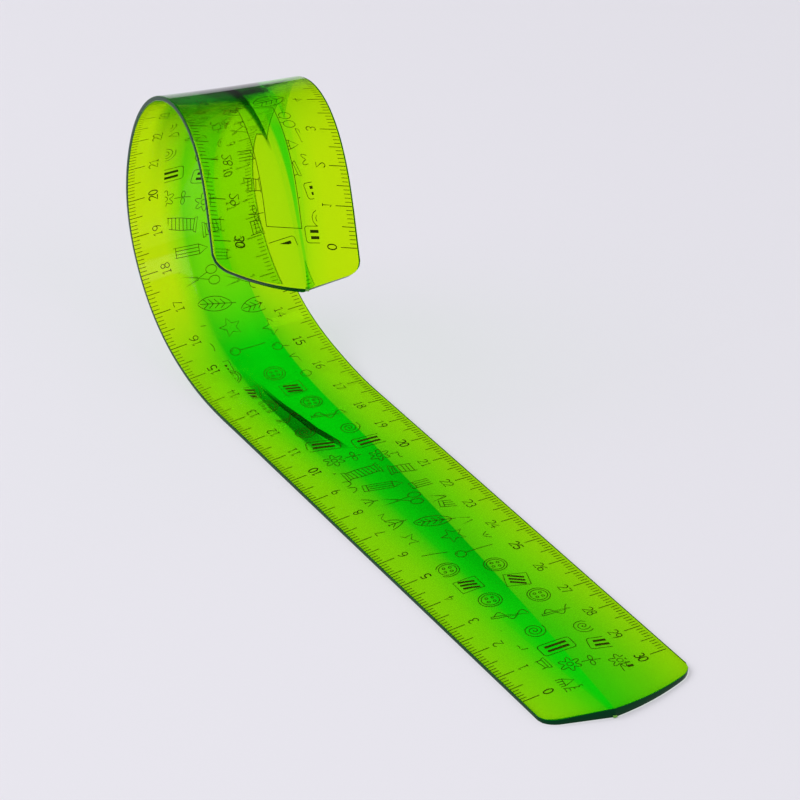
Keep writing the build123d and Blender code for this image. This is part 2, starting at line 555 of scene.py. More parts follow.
    def tint_group(self) -> bpy.types.NodeTree:
        """Return the group that gives the plastic's tint, with its painted shade, from its place on the
        strip.
        """
        tree = bpy.data.node_groups.new("strip_tint_and_shade", "ShaderNodeTree")
        tree.interface.new_socket("Tint", in_out="OUTPUT", socket_type="NodeSocketColor")
        out = tree.nodes.new("NodeGroupOutput")
        place = add(tree, "Attribute", {}, attribute_name=PLACE_LAYER).outputs["Vector"]
        along, zone, _ = add(tree, "SeparateXYZ", {0: place}).outputs
        across = spread(tree, zone, -2.0, 2.0)
        tint = None
        for row in self.rows:
            here = ramp(tree, across, [(position, (*colour, self.blue)) for position, colour in row.stops])
            if tint is None:
                tint = here
                continue
            taken = spread(tree, along, row.start * MM, row.full * MM, soft=True)
            tint = mix_colours(tree, taken, tint, here)
        for streak in self.streaks:
            tint = self._streaked(tree, tint, (along, across), streak)
        tree.links.new(tint, out.inputs["Tint"])
        return tree

    def _clear(self, finish: Finish, gloss: float) -> tuple:
        """Return a clear finish that still lacks its colour.

        It glows a dim green, a painted glow, on rays that have mirrored inside it more than once,
        and lamps shine through it, tinted, instead of casting a solid shadow.

        Args:
            finish: which finish it is.
            gloss: how strongly it mirrors.

        Returns:
            The material and its shader.
        """
        material = finish.blank()
        tree = material.node_tree
        tree.nodes.clear()
        light = add(tree, "LightPath", {}).outputs
        shader = add(tree, "BsdfPrincipled", {
            "Roughness": self.roughness,
            "IOR": self.ior,
            "Transmission Weight": 1.0,
            "Specular Tint": (gloss, gloss, gloss, 1.0),
            # Painted glow: a dim green emission on rays mirrored more than once inside the plastic.
            "Emission Color": (*self.kept_light, 1.0),
            "Emission Strength": arithmetic(tree, "GREATER_THAN", light["Glossy Depth"], self.kept_after),
        })
        plain_ray = arithmetic(tree, "MAXIMUM", light["Is Shadow Ray"], light["Is Diffuse Ray"])
        cast = add(tree, "BsdfTransparent", {"Color": (*self.cast, 1.0)})
        both = add(tree, "MixShader", {"Fac": plain_ray, 1: shader.outputs[0], 2: cast.outputs[0]})
        add(tree, "OutputMaterial", {"Surface": both.outputs[0]})
        return material, shader

    def upper_face(self, group: bpy.types.NodeTree) -> bpy.types.Material:
        """Return the finish of the strip's upper face, which carries its tint and painted shade.

        The shader gives one crossing the square root of its colour, so the tint goes in squared.

        Args:
            group: the group that gives what one pass through the strip lets through, with the painted shade.

        Returns:
            The material.
        """
        material, shader = self._clear(Finish.CLEAR, self.gloss)
        tree = material.node_tree
        tint = add(tree, "Group", {}, node_tree=group).outputs["Tint"]
        facing = add(tree, "LayerWeight", {}).outputs["Facing"]
        grazing = arithmetic(tree, "POWER", facing, self.graze_power)
        grazing = arithmetic(tree, "MULTIPLY", grazing, self.graze)
        slanted = arithmetic(tree, "MULTIPLY", facing, self.slant)
        depth = arithmetic(tree, "ADD", arithmetic(tree, "ADD", slanted, grazing), 1.0)
        squared = arithmetic(tree, "MULTIPLY", depth, 2.0)
        deep = add(tree, "Gamma", {"Color": tint, "Gamma": squared}).outputs["Color"]
        colour = mix_colours(tree, 1.0, deep, (*self.printed, 1.0), "DIVIDE")
        feed(tree, shader, {"Base Color": colour})
        return material

    def printed_face(self) -> bpy.types.Material:
        """Return the finish of the strip's flat, printed face: one even tint and little gloss."""
        material, shader = self._clear(Finish.PRINTED, self.printed_gloss)
        feed(material.node_tree, shader, {"Base Color": (*self.printed, 1.0)})
        return material

    @staticmethod
    def seam() -> bpy.types.Material:
        """Return the unseen finish of the faces that close each length of skin."""
        material = Finish.SEAM.blank()
        feed(material.node_tree, material.node_tree.nodes["Principled BSDF"], {"Alpha": 0.0})
        return material

    def skin(self) -> tuple:
        """Return the skin's finishes, in the order of their slots."""
        return self.upper_face(self.tint_group()), self.printed_face(), NARROW_SIDE_PAINTED_DARK.material(), self.seam()


@dataclass(frozen=True)
class Mottled:
    """An opaque finish with fine mottling.

    Attributes:
        finish: which finish it is.
        colours: its darker and its paler colour.
        grain: how fine the mottling is, in patches to a metre.
        constants: what its shader's inputs are set to.
        relief: how deep the mottling is, if it has relief.
    """

    finish: Finish
    colours: tuple
    grain: float
    constants: dict
    relief: float = 0.0

    def material(self) -> bpy.types.Material:
        """Return the finish."""
        material = self.finish.blank()
        tree = material.node_tree
        place = add(tree, "TexCoord", {}).outputs["Object"]
        grain = add(tree, "TexNoise", {"Vector": place, "Scale": self.grain}).outputs["Fac"]
        inputs = {"Base Color": ramp(tree, grain, list(enumerate(self.colours))), **self.constants}
        if self.relief:
            bump = add(tree, "Bump", {"Height": grain, "Distance": self.relief})
            inputs["Normal"] = bump.outputs["Normal"]
        feed(tree, tree.nodes["Principled BSDF"], inputs)
        return material


# The narrow sides are painted an opaque dark green: painted shade for how dark the clear sides look along the
# strip. The torn gates are frosted and paler.
NARROW_SIDE_PAINTED_DARK = Mottled(
    Finish.SIDE,
    ((0.0, 0.03, 0.008), (0.0, 0.048, 0.0128)),
    160.0,
    {
        "Roughness": 0.22,
        "IOR": PLASTIC_IOR,
        "Specular IOR Level": 0.12,
        "Specular Tint": (0.3, 1.0, 0.5, 1.0),
    },
)
TORN_GATE = Mottled(Finish.TORN, ((0.05, 0.3, 0.02), (0.3, 0.6, 0.1)), 2500.0, {"Roughness": 0.6}, 0.2 * MM)
BLACK_INK = Mottled(Finish.INK, ((0.012, 0.014, 0.012), (0.0264, 0.0308, 0.0264)), 900.0, {"Roughness": 0.55})


@dataclass(frozen=True)
class Stretch:
    """One length of the skin.

    Attributes:
        name: the piece's name.
        start: where it starts along the strip.
        stop: where it stops.
        bodies: the body that it rides on, or the two that it lies between.
        nodes: the model's nodes that it stands for.
    """

    name: str
    start: float
    stop: float
    bodies: tuple
    nodes: tuple


@dataclass
class FlexStrip:
    """The moulded strip, as lengths of skin from link to link.

    Attributes:
        path: the way that it follows.
        shape: its sizes.
        first_mark: the centimetre mark of the first link.
        link_count: how many links there are.
        link_length: the length of each.
        run_ends: where the runs of hinges that turn together begin and end.
        bevel_columns: how many columns of faces each side's slope has.
        leaf_columns: how many the middle has.
        crowding: how strongly the slopes' columns crowd towards the sides.
        row_length: the length of one row of faces where the strip bends.
        flat_row_length: the same where it lies flat.
        settling: how many rounds the outline and the creases take to agree.
        edge_round: the radius of its long edges.
        sharp_from: the angle, in degrees, from which an edge is rounded.
        side_lean: how far a narrow side's face may lean up or down.
        gate: how far a gate stands proud, how deep it sits in the tip, its width, its height
            above the table and its thickness.
        gate_round: how much of a gate each edge's rounding takes.
        gate_lean: how far a gate's torn end is turned, in radians.
    """

    path: StripPath
    shape: StripShape
    first_mark: int = 13
    link_count: int = 16
    link_length: float = 10.0 * MM
    run_ends: tuple = (120.0 * MM, 200.0 * MM, 290.0 * MM)
    bevel_columns: int = 16
    leaf_columns: int = 12
    crowding: float = 1.3
    row_length: float = 0.5 * MM
    flat_row_length: float = 2.0 * MM
    settling: int = 3
    edge_round: float = 0.12 * MM
    sharp_from: float = 40.0
    side_lean: float = 0.35
    gate: tuple = (0.35 * MM, 0.6 * MM, 0.9 * MM, 0.1 * MM, 0.45 * MM)
    gate_round: float = 0.14
    gate_lean: float = 0.16

    def stretches(self) -> list:
        """Return the lengths of skin, from the near tip to the far one."""
        links = [f"flex_link_{self.first_mark + index}" for index in range(self.link_count)]
        bodies = ["lying_run", *links, "free_end"]
        half = self.link_length / 2
        first = self.path.start - half
        found = [Stretch("flat_run", self.shape.near_tip, first, ("lying_run",), ("lying_run",))]
        for index in range(self.link_count + 1):
            start = first + self.link_length * index
            name = f"bend_{self.first_mark + index - 1}"
            pair, nodes = (bodies[index], bodies[index + 1]), (bodies[index + 1],)
            found.append(Stretch(name, start, start + self.link_length, pair, nodes))
        found.append(Stretch("tip", found[-1].stop, self.shape.far_tip, ("free_end",), ("free_end",)))
        return found

    def _across(self, share: np.ndarray, place: np.ndarray) -> tuple:
        """Spread the grid's columns over the strip.

        Args:
            share: column shares from 0 at the right side to 1 at the left side.
            place: place along the strip.

        Returns:
            The place across, the height of the top face, and the zone value, which is -2 and 2
            at the sides and -1 and 1 at the creases.
        """
        right, left = self.shape.creases(place)
        bevel, columns = self.bevel_columns, self.bevel_columns * 2 + self.leaf_columns
        column = share * columns
        from_right = np.clip(column / bevel, 0, 1) ** self.crowding
        from_left = np.clip((columns - column) / bevel, 0, 1) ** self.crowding
        inside = np.clip((column - bevel) / self.leaf_columns, 0, 1)
        slopes = [column <= bevel, column >= columns - bevel]
        half, rise = self.shape.half_width, self.shape.crest - self.shape.edge
        outer = [-half + (right + half) * from_right, half - (half - left) * from_left]
        across = np.select(slopes, outer, right + (left - right) * inside)
        height = self.shape.edge + rise * np.select(slopes, [from_right, from_left], 1)
        zone = np.select(slopes, [from_right - 2, 2 - from_left], inside * 2 - 1)
        return across, height, zone

    def _slab(self, stretch: Stretch) -> bmesh.types.BMesh:
        """Return a length of the strip laid flat.

        Args:
            stretch: the length to make.

        Returns:
            A mesh in flat places, with the zone value in its strip_place layer.
        """
        near = stretch.start <= self.shape.near_tip
        far = stretch.stop >= self.shape.far_tip
        rows = round((stretch.stop - stretch.start) / (self.flat_row_length if near else self.row_length))
        columns = self.bevel_columns * 2 + self.leaf_columns
        slab = bmesh.new()
        bmesh.ops.create_grid(slab, x_segments=rows, y_segments=columns, size=0.5)
        bmesh.ops.translate(slab, verts=slab.verts, vec=(0.5, 0.5, 0))
        bmesh.ops.solidify(slab, geom=slab.faces[:], thickness=-1.0)
        open_ends = []
        for face in slab.faces:
            along = face.calc_center_median().x
            if (along < NEARLY and not near) or (along > 1 - NEARLY and not far):
                open_ends.append(face)
        bmesh.ops.delete(slab, geom=open_ends, context="FACES")
        unit = np.array([vert.co for vert in slab.verts])
        floor = unit[:, 2].min()
        share = unit[:, 1]
        place = stretch.start + (stretch.stop - stretch.start) * unit[:, 0]
        for _ in range(self.settling):
            across, height, zone = self._across(share, place)
            start = self.shape.near_edge(across) if near else np.full(len(unit), stretch.start)
            stop = self.shape.far_edge(across) if far else np.full(len(unit), stretch.stop)
            place = start + (stop - start) * unit[:, 0]
        lifted = np.where(unit[:, 2] > floor + 0.5, height, 0)
        layer = slab.verts.layers.float_vector.new(PLACE_LAYER)
        for vert, s, y, n, z in zip(slab.verts, place, across, lifted, zone):
            vert.co = (s, y, n)
            vert[layer] = (s, z, n)
        slab.normal_update()
        self._round_edges(slab)
        return slab

    def _round_edges(self, slab: bmesh.types.BMesh) -> None:
        """Round the slab's long lower and upper edges and mark the right crease sharp."""
        sharp = []
        for edge in slab.edges:
            if len(edge.link_faces) == 2 and edge.calc_face_angle(0) > math.radians(self.sharp_from):
                sharp.append(edge)
        bmesh.ops.bevel(
            slab,
            geom=sharp,
            affect="EDGES",
            offset=self.edge_round,
            segments=2,
            profile=0.5,
            material=-1,
            clamp_overlap=True,
        )
        slab.normal_update()
        layer = slab.verts.layers.float_vector[PLACE_LAYER]
        for face in slab.faces:
            face.smooth = True
            flat = SkinSlot.PRINTED if face.normal.z < 0 else SkinSlot.UPPER
            face.material_index = SkinSlot.SIDE if abs(face.normal.z) < self.side_lean else flat
        for edge in slab.edges:
            ends = [vert[layer] for vert in edge.verts]
            on_crease = all(abs(end.y + 1) < NEARLY for end in ends)
            if on_crease and all(end.z > self.shape.edge for end in ends):
                edge.smooth = False
        self._close(slab)

    @staticmethod
    def _close(slab: bmesh.types.BMesh) -> None:
        """Close the slab where the next length joins it, with sharp rims."""
        rims = [edge for edge in slab.edges if edge.is_boundary]
        bmesh.ops.edgeloop_fill(slab, edges=rims, mat_nr=SkinSlot.SEAM, use_smooth=False)
        for edge in rims:
            edge.smooth = False

    def build(self, materials: tuple) -> list:
        """Make every length of the skin.

        Args:
            materials: the finishes of the upper face, the printed face, the sides and the seams.

        Returns:
            The pieces.
        """
        made = []
        for stretch in self.stretches():
            piece = set_down(self._slab(stretch), f"ruler_skin_{stretch.name}", self.path, *materials)
            self.hang(piece, stretch)
            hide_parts(*stretch.nodes)
            made.append(piece)
        return made

    def add_gates(self, material: bpy.types.Material) -> list:
        """Make the torn gate at each tip.

        Args:
            material: its finish.

        Returns:
            The two pieces.
        """
        proud, deep, width, low, thick = self.gate
        made = []
        for name, tip, outward, body in (
            ("near_gate", self.shape.near_tip, -1, "lying_run"),
            ("far_gate", self.shape.far_tip, 1, "free_end"),
        ):
            nub = bmesh.new()
            bmesh.ops.create_cube(nub, size=1.0)
            bmesh.ops.bevel(
                nub,
                geom=nub.edges[:],
                affect="EDGES",
                offset=self.gate_round,
                segments=3,
                profile=0.5,
                material=-1,
            )
            torn = [vert for vert in nub.verts if vert.co.x * outward > 0]
            lean = Matrix.Rotation(self.gate_lean * outward, 3, "Z")
            bmesh.ops.rotate(nub, verts=torn, cent=(0, 0, 0), matrix=lean)
            bmesh.ops.scale(nub, verts=nub.verts, vec=(proud + deep, width, thick))
            middle = tip + outward * (proud - deep) / 2
            place = (middle, -outward * self.shape.tip_offset, low + thick / 2)
            bmesh.ops.translate(nub, verts=nub.verts, vec=place)
            for face in nub.faces:
                face.smooth = True
            piece = set_down(nub, name, self.path, material)
            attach(piece, body)
            made.append(piece)
        return made

    def hang(self, piece: bpy.types.Object, stretch: Stretch) -> None:
        """Make a piece follow the body of its stretch. A piece between two bodies is only fixed
        where it lies.

        Args:
            piece: the piece.
            stretch: its stretch.
        """
        if len(stretch.bodies) == 1:
            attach(piece, stretch.bodies[0])
            return
        turn = self._turn(stretch.start)
        low = self._blend_place(self._lent(stretch.start) / turn)
        high = self._blend_place(1 - self._lent(stretch.stop) / turn)
        start, stop = self.path.middle(stretch.start), self.path.middle(stretch.stop)
        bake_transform(piece)

    def _turn(self, start: float) -> float:
        """Return how far the strip turns over the link's length that begins at a place."""
        _, forward, _, _ = self.path.frames(np.array([start, start + self.link_length]))
        return math.acos(min(1.0, float(forward[0] @ forward[1])))

    def _lent(self, seam: float) -> float:
        """Return the turn that the lengths on the two sides of a seam lend each other.

        Nothing uses it to bend the skin. At a run's ends nothing is lent.
        """
        if any(abs(seam - end) < self.path.stride for end in self.run_ends):
            return 0.0
        before, after = self._turn(seam - self.link_length), self._turn(seam)
        return before * after / (before + after) / 2

    @staticmethod
    def _blend_place(weight: float) -> float:
        """Return how far along a smooth blend, from 0 to 1, its weight is reached."""
        return 0.5 - math.sin(math.asin(1 - 2 * weight) / 3)


def set_down(
    flat: bmesh.types.BMesh, name: str, path: StripPath, *materials: bpy.types.Material
) -> bpy.types.Object:
    """Turn a flat mesh into a piece that follows the strip, and free it.

    Args:
        flat: a mesh of flat places.
        name: the piece's name.
        path: the strip's path.
        materials: its finishes.

    Returns:
        The piece.
    """
    bmesh.ops.recalc_face_normals(flat, faces=flat.faces)
    mesh = bpy.data.meshes.new(name)
    flat.to_mesh(mesh)
    flat.free()
    places = np.zeros(len(mesh.vertices) * 3, np.float32)
    mesh.vertices.foreach_get("co", places)
    space = path.to_space(places.reshape(-1, 3).astype(float))
    mesh.vertices.foreach_set("co", space.astype(np.float32).ravel())
    mesh.update()
    for material in materials:
        mesh.materials.append(material)
    piece = bpy.data.objects.new(name, mesh)
    bpy.context.scene.collection.objects.link(piece)
    LOG.info("%s: %d faces", name, len(mesh.polygons))
    return piece


def arc(centre: tuple, radii: tuple, start: float = 0.0, stop: float = 360.0, steps: int = 16) -> list:
    """Return points along an ellipse.

    Args:
        centre: its centre.
        radii: its half width and half height.
        start: the first point's angle, in degrees.
        stop: the last point's angle.
        steps: how many runs the line has.

    Returns:
        The points.
    """
    angles = [math.radians(start + (stop - start) * step / steps) for step in range(steps + 1)]
    return [(centre[0] + radii[0] * math.cos(a), centre[1] + radii[1] * math.sin(a)) for a in angles]


@dataclass
class Sketch:
    """One small line drawing, in millimetres about its own middle.

    Attributes:
        lines: its thin lines, each a list of points.
        bars: its solid bars, each a centre, a size and a turn in degrees.
    """

    lines: list = field(default_factory=list)
    bars: list = field(default_factory=list)


class SketchBook:
    """Small line drawings of sewing and craft things."""

    @staticmethod
    def button() -> Sketch:
        """Return a four-holed button."""
        holes = [arc((x, y), (0.34, 0.34), steps=7) for x in (-0.7, 0.7) for y in (-0.7, 0.7)]
        return Sketch([arc((0, 0), (2.6, 2.6), steps=22), arc((0, 0), (2.0, 2.0), steps=18), *holes])

    @staticmethod
    def spool() -> Sketch:
        """Return a spool of thread."""
        ends = [[(-2.0, y), (2.0, y), (1.7, y * 0.84), (-1.7, y * 0.84), (-2.0, y)] for y in (-4.5, 4.5)]
        sides = [[(x, -3.8), (x * 1.15, 0), (x, 3.8)] for x in (-1.4, 1.4)]
        turns = [[(-1.45, y), (1.45, y + 0.5)] for y in (-3.1, -2.1, -1.1, -0.1, 0.9, 1.9, 2.9)]
        return Sketch([*ends, *sides, *turns])

    @staticmethod
    def leaf() -> Sketch:
        """Return a leaf with its veins."""
        right = arc((-1.5, 0), (3.5, 4.9), -62, 62, 10)
        left = arc((1.5, 0), (3.5, 4.9), 118, 242, 10)
        veins = [[(0, y), (side * 1.2, y + 1.2)] for y in (-2.6, -1.1, 0.4, 1.7) for side in (-1, 1)]
        return Sketch([right, left, [(0, -5.4), (0, 3.8)], *veins])

    @staticmethod
    def star() -> Sketch:
        """Return a five-pointed star."""
        tips = []
        for index in range(11):
            reach = 2.9 if index % 2 == 0 else 1.3
            angle = math.radians(90 + 36 * index)
            tips.append((reach * math.cos(angle), reach * math.sin(angle)))
        return Sketch([tips])

    @staticmethod
    def buckle() -> Sketch:
        """Return a long belt buckle with two solid bars."""
        outline = [*arc((1.3, 3.2), (0.7, 0.7), 0, 90, 3), *arc((-1.3, 3.2), (0.7, 0.7), 90, 180, 3)]
        outline += [*arc((-1.3, -3.2), (0.7, 0.7), 180, 270, 3), *arc((1.3, -3.2), (0.7, 0.7), 270, 360, 3)]
        bars = [((x, 0), (0.72, 5.2), 0) for x in (-0.75, 0.75)]
        return Sketch([[*outline, outline[0]]], bars)

    @staticmethod
    def patch() -> Sketch:
        """Return a sewn patch with three solid stripes."""
        outline = [(-2.3, -2.7), (2.3, -2.7), (2.3, 2.7), (-2.3, 2.7), (-2.3, -2.7)]
        bars = [((x, 0), (0.6, 3.7), -18) for x in (-1.25, 0, 1.25)]
        return Sketch([outline], bars)

    @staticmethod
    def flower() -> Sketch:
        """Return a six-petalled flower on a stalk."""
        petals = []
        for step in range(49):
            angle = math.radians(7.5 * step)
            reach = 1.85 + 0.65 * math.cos(6 * angle)
            petals.append((reach * math.cos(angle), 2.1 + reach * math.sin(angle)))
        stalk = [(0, -0.4), (0.2, -2.4), (0, -4.8)]
        leaves = [arc((side * 0.95, -2.7), (0.9, 0.5), steps=10) for side in (-1, 1)]
        return Sketch([petals, arc((0, 2.1), (0.7, 0.7), steps=10), stalk, *leaves])

    @staticmethod
    def whorl() -> Sketch:
        """Return a spiral."""
        turn = [math.radians(30 * step) for step in range(35)]
        return Sketch([[(0.15 * a * math.cos(a), 0.15 * a * math.sin(a)) for a in turn]])

    @staticmethod
    def needle() -> Sketch:
        """Return a needle with a wavy thread."""
        shaft = [(-0.3, 4.6), (0.3, 4.6), (0.35, 3.2), (0, -4.7), (-0.35, 3.2), (-0.3, 4.6)]
        thread = [(0.1 + 1.5 * math.sin(0.55 * step), 4.0 - 0.45 * step) for step in range(18)]
        return Sketch([shaft, thread])

    @staticmethod
    def pin() -> Sketch:
        """Return a round-headed pin."""
        head = [arc((0, 3.4), (1.25, 1.25), steps=12), arc((0.35, 3.75), (0.4, 0.4), 0, 120, 5)]
        return Sketch([*head, [(0, 2.15), (0, -4.7)]])

    @staticmethod
    def pencil() -> Sketch:
        """Return a short pencil."""
        body = [(-1.25, 4.5), (1.25, 4.5), (1.25, -2.6), (0, -4.9), (-1.25, -2.6), (-1.25, 4.5)]
        grain = [[(x, 3.5), (x, -2.6)] for x in (-0.45, 0.45)]
        return Sketch([body, [(-1.25, 3.5), (1.25, 3.5)], [(-1.25, -2.6), (1.25, -2.6)], *grain])

    @staticmethod
    def scissors() -> Sketch:
        """Return an open pair of scissors."""
        loops = [arc((x, -3.2), (1.1, 1.5), steps=12) for x in (-1.4, 1.4)]
        blades = [[(-side * 0.95, -1.9), (side * 1.4, 4.7), (side * 0.3, 0.7)] for side in (-1, 1)]
        return Sketch([*loops, *blades])

    def page(self) -> list:
        """Return the drawings in the order in which they repeat."""
        return [
            self.buckle(), self.leaf(), self.button(), self.spool(), self.pin(), self.whorl(),
            self.scissors(), self.patch(), self.flower(), self.star(), self.needle(), self.pencil(),
            self.button(),
        ]


class NumberPen:
    """Hand-drawn digits, as lines in millimetres about each digit's middle."""

    pitch: float = 1.55

    @staticmethod
    def digit(figure: str) -> list:
        """Return one digit's lines.

        Args:
            figure: the digit, from 0 to 9.

        Returns:
            Its lines, each a list of points.
        """
        shapes = {
            "0": [arc((0, 0), (0.62, 1.15), steps=18)],
            "1": [[(-0.4, 0.72), (0.05, 1.15), (0.05, -1.15)], [(-0.32, -1.15), (0.42, -1.15)]],
            "2": [[*arc((0, 0.55), (0.6, 0.6), 165, -35, 10), (-0.62, -1.12), (0.66, -1.12)]],
            "3": [[*arc((0, 0.56), (0.54, 0.58), 150, -75, 9), *arc((0, -0.52), (0.64, 0.63), 80, -150, 11)]],
            "4": [[(0.28, -1.15), (0.28, 1.15), (-0.66, -0.42), (0.72, -0.42)]],
            "5": [[(0.56, 1.12), (-0.38, 1.12), (-0.48, 0.16), *arc((0, -0.44), (0.64, 0.7), 125, -145, 12)]],
            "6": [
                [(0.42, 1.12), *arc((0.42, -0.2), (1.0, 1.25), 112, 178, 6)],
                arc((0.02, -0.52), (0.6, 0.62), steps=14),
            ],
            "7": [[(-0.6, 1.08), (0.62, 1.08), (-0.12, -1.15)]],
            "8": [arc((0, 0.6), (0.48, 0.54), steps=13), arc((0, -0.54), (0.6, 0.6), steps=14)],
            "9": [arc((0, 0.5), (0.58, 0.62), steps=14), [(0.58, 0.5), (0.5, -0.3), (0.1, -1.15)]],
        }
        return shapes[figure]

    def number(self, text: str) -> list:
        """Return a whole number's lines about its middle."""
        lines = []
        for index, figure in enumerate(text):
            shift = self.pitch * (index - (len(text) - 1) / 2)
            lines += [[(x + shift, y) for x, y in line] for line in self.digit(figure)]
        return lines


@dataclass
class LineWork:
    """Lines of one weight, gathered and then made one flat film.

    Attributes:
        half_width: half the lines' width.
        film: the ink's thickness.
        lines: the lines gathered so far.
    """

    half_width: float
    film: float
    lines: list = field(default_factory=list)

    def add(self, lines: list, place: Matrix) -> None:
        """Gather some lines.

        Args:
            lines: lists of points.
            place: where they go.
        """
        for line in lines:
            self.lines.append([place @ Vector((x, y, 0)) for x, y in line])

    def pour(self, ink: bmesh.types.BMesh) -> None:
        """Add every gathered line to the ink."""
        curve = bpy.data.curves.new("lines", "CURVE")
        curve.dimensions = "3D"
        curve.bevel_depth = self.half_width
        curve.bevel_resolution = 0
        curve.use_fill_caps = True
        for line in self.lines:
            spline = curve.splines.new("POLY")
            spline.points.add(len(line) - 1)
            for point, spot in zip(spline.points, line):
                point.co = (*spot, 1)
        holder = bpy.data.objects.new("lines", curve)
        mesh = bpy.data.meshes.new_from_object(holder)
        squeeze = Matrix.Diagonal((1, 1, self.film / (2 * self.half_width), 1))
        mesh.transform(Matrix.Translation((0, 0, self.film / 2)) @ squeeze)
        ink.from_mesh(mesh)
        bpy.data.objects.remove(holder)
        bpy.data.curves.remove(curve)
        bpy.data.meshes.remove(mesh)


def lay_bar(ink: bmesh.types.BMesh, place: Matrix, size: tuple) -> None:
    """Add one flat solid bar to the ink.

    Args:
        ink: the flat mesh that takes it.
        place: where its middle lies, and how it is turned.
        size: its width and height.
    """
    spot = place @ Matrix.Diagonal((*size, 1, 1))
    bmesh.ops.create_grid(ink, x_segments=1, y_segments=1, size=0.5, matrix=spot)


@dataclass
class PrintedFace:
    """The ink on the strip's flat face: two centimetre scales and a panel of line drawings.

    Its sizes are in millimetres.

    Attributes:
        strip: the strip that it is printed on.
        length: the scales' length.
        tick_foot: how far from the middle line every tick ends.
        tick_heads: how far from it the centimetre, half and millimetre ticks begin.
        tick_widths: the widths of those ticks.
        number_at: how far from the middle line the numbers stand.
        number_lines: half the width of a plain and of a bold number's lines.
        panel_half: half the width of the panel of drawings.
        panel_start: where the panel begins.
        panel_stop: where it ends.
        name_box: where the bare box begins and ends, and half its width.
        line: half the width of a drawing's lines.
        row_pitch: how far apart the drawings of one row stand.
        row_gap: how far apart the rows are.
        row_slope: how much the rows climb.
        row_lift: how far they are moved across.
        film: the ink's thickness.
        depth: how deep it lies inside the strip's flat face.
    """

    strip: FlexStrip
    length: int = 300
    tick_foot: float = 18.2
    tick_heads: tuple = (14.0, 15.0, 16.6)
    tick_widths: tuple = (0.19, 0.17, 0.15)
    number_at: float = 11.75
    number_lines: tuple = (0.105, 0.15)
    panel_half: float = 8.7
    panel_start: float = -2.5
    panel_stop: float = 300.0
    name_box: tuple = (263.0, 296.0, 4.5)
    line: float = 0.08
    row_pitch: float = 7.4
    row_gap: float = 9.6
    row_slope: float = 0.13
    row_lift: float = 0.2
    film: float = 0.03
    depth: float = 0.02

    def _ticks(self, ink: bmesh.types.BMesh) -> None:
        """Add both scales' tick marks."""
        for place in range(self.length + 1):
            rank = 0 if place % 10 == 0 else 1 if place % 5 == 0 else 2
            head, width = self.tick_heads[rank], self.tick_widths[rank]
            for side in (-1, 1):
                middle = Matrix.Translation((place, side * (head + self.tick_foot) / 2, 0))
                lay_bar(ink, middle, (width, self.tick_foot - head))

    def _numbers(self, ink: bmesh.types.BMesh) -> None:
        """Add both scales' numbers, each read from its own edge, every fifth one bolder."""
        pen = NumberPen()
        weights = [LineWork(half, self.film) for half in self.number_lines]
        last = self.length // 10
        for mark in range(last + 1):
            work = weights[1] if mark % 5 == 0 else weights[0]
            work.add(pen.number(str(mark)), Matrix.Translation((mark * 10, self.number_at, 0)))
            turned = Matrix.Translation((mark * 10, -self.number_at, 0)) @ Matrix.Rotation(math.pi, 4, "Z")
            work.add(pen.number(str(last - mark)), turned)
        for work in weights:
            work.pour(ink)

    def _spots(self) -> list:
        """Return where the drawings stand: sketch, place, height and turn in degrees."""
        page = SketchBook().page()
        spots = []
        count = math.ceil((self.panel_stop - self.panel_start) / self.row_pitch)
        for index in range(count + 1):
            for row in range(4):
                along = self.panel_start + self.row_pitch * (index + 0.5 * (row % 2))
                rise = self.row_gap * (row - 2) + (self.row_slope * along) % self.row_gap
                sketch = page[(index * 5 + row * 8) % len(page)]
                turn = -10 + 9 * math.sin(1.7 * index + 2.1 * row)
                spots.append((sketch, along, rise + self.row_lift, turn))
        return spots

    def _drawings(self) -> bmesh.types.BMesh:
        """Return the panel of drawings, flat and trimmed to the panel and round the name box."""
        work = LineWork(self.line, self.film)
        ink = bmesh.new()
        for sketch, along, lift, turn in self._spots():
            place = Matrix.Translation((along, lift, 0)) @ Matrix.Rotation(math.radians(turn), 4, "Z")
            work.add(sketch.lines, place)
            for centre, size, lean in sketch.bars:
                spot = place @ Matrix.Translation((*centre, 0)) @ Matrix.Rotation(math.radians(lean), 4, "Z")
                lay_bar(ink, spot, size)
        self._thicken(ink)
        work.pour(ink)
        self._trim(ink)
        return ink

    def _thicken(self, ink: bmesh.types.BMesh) -> None:
        """Give flat ink its film thickness, upward."""
        bmesh.ops.recalc_face_normals(ink, faces=ink.faces)
        for face in ink.faces:
            if face.normal.z < 0:
                face.normal_flip()
        bmesh.ops.solidify(ink, geom=ink.faces[:], thickness=-self.film)
        floor = min(vert.co.z for vert in ink.verts)
        bmesh.ops.translate(ink, verts=ink.verts, vec=(0, 0, -floor))

    def _trim(self, ink: bmesh.types.BMesh) -> None:
        """Cut the drawings off at the panel's edges and clear the name box."""
        for side in (-1, 1):
            cut(ink, (0, side * self.panel_half, 0), (0, side, 0), True)
        cut(ink, (self.panel_start, 0, 0), (-1, 0, 0), True)
        cut(ink, (self.panel_stop, 0, 0), (1, 0, 0), True)
        start, stop, half = self.name_box
        for place in (start, stop):
            cut(ink, (place, 0, 0), (1, 0, 0), False)
        for side in (-1, 1):
            cut(ink, (0, side * half, 0), (0, side, 0), False)
        inside = []
        for face in ink.faces:
            middle = face.calc_center_median()
            if start < middle.x < stop and abs(middle.y) < half:
                inside.append(face)
        bmesh.ops.delete(ink, geom=inside, context="FACES")

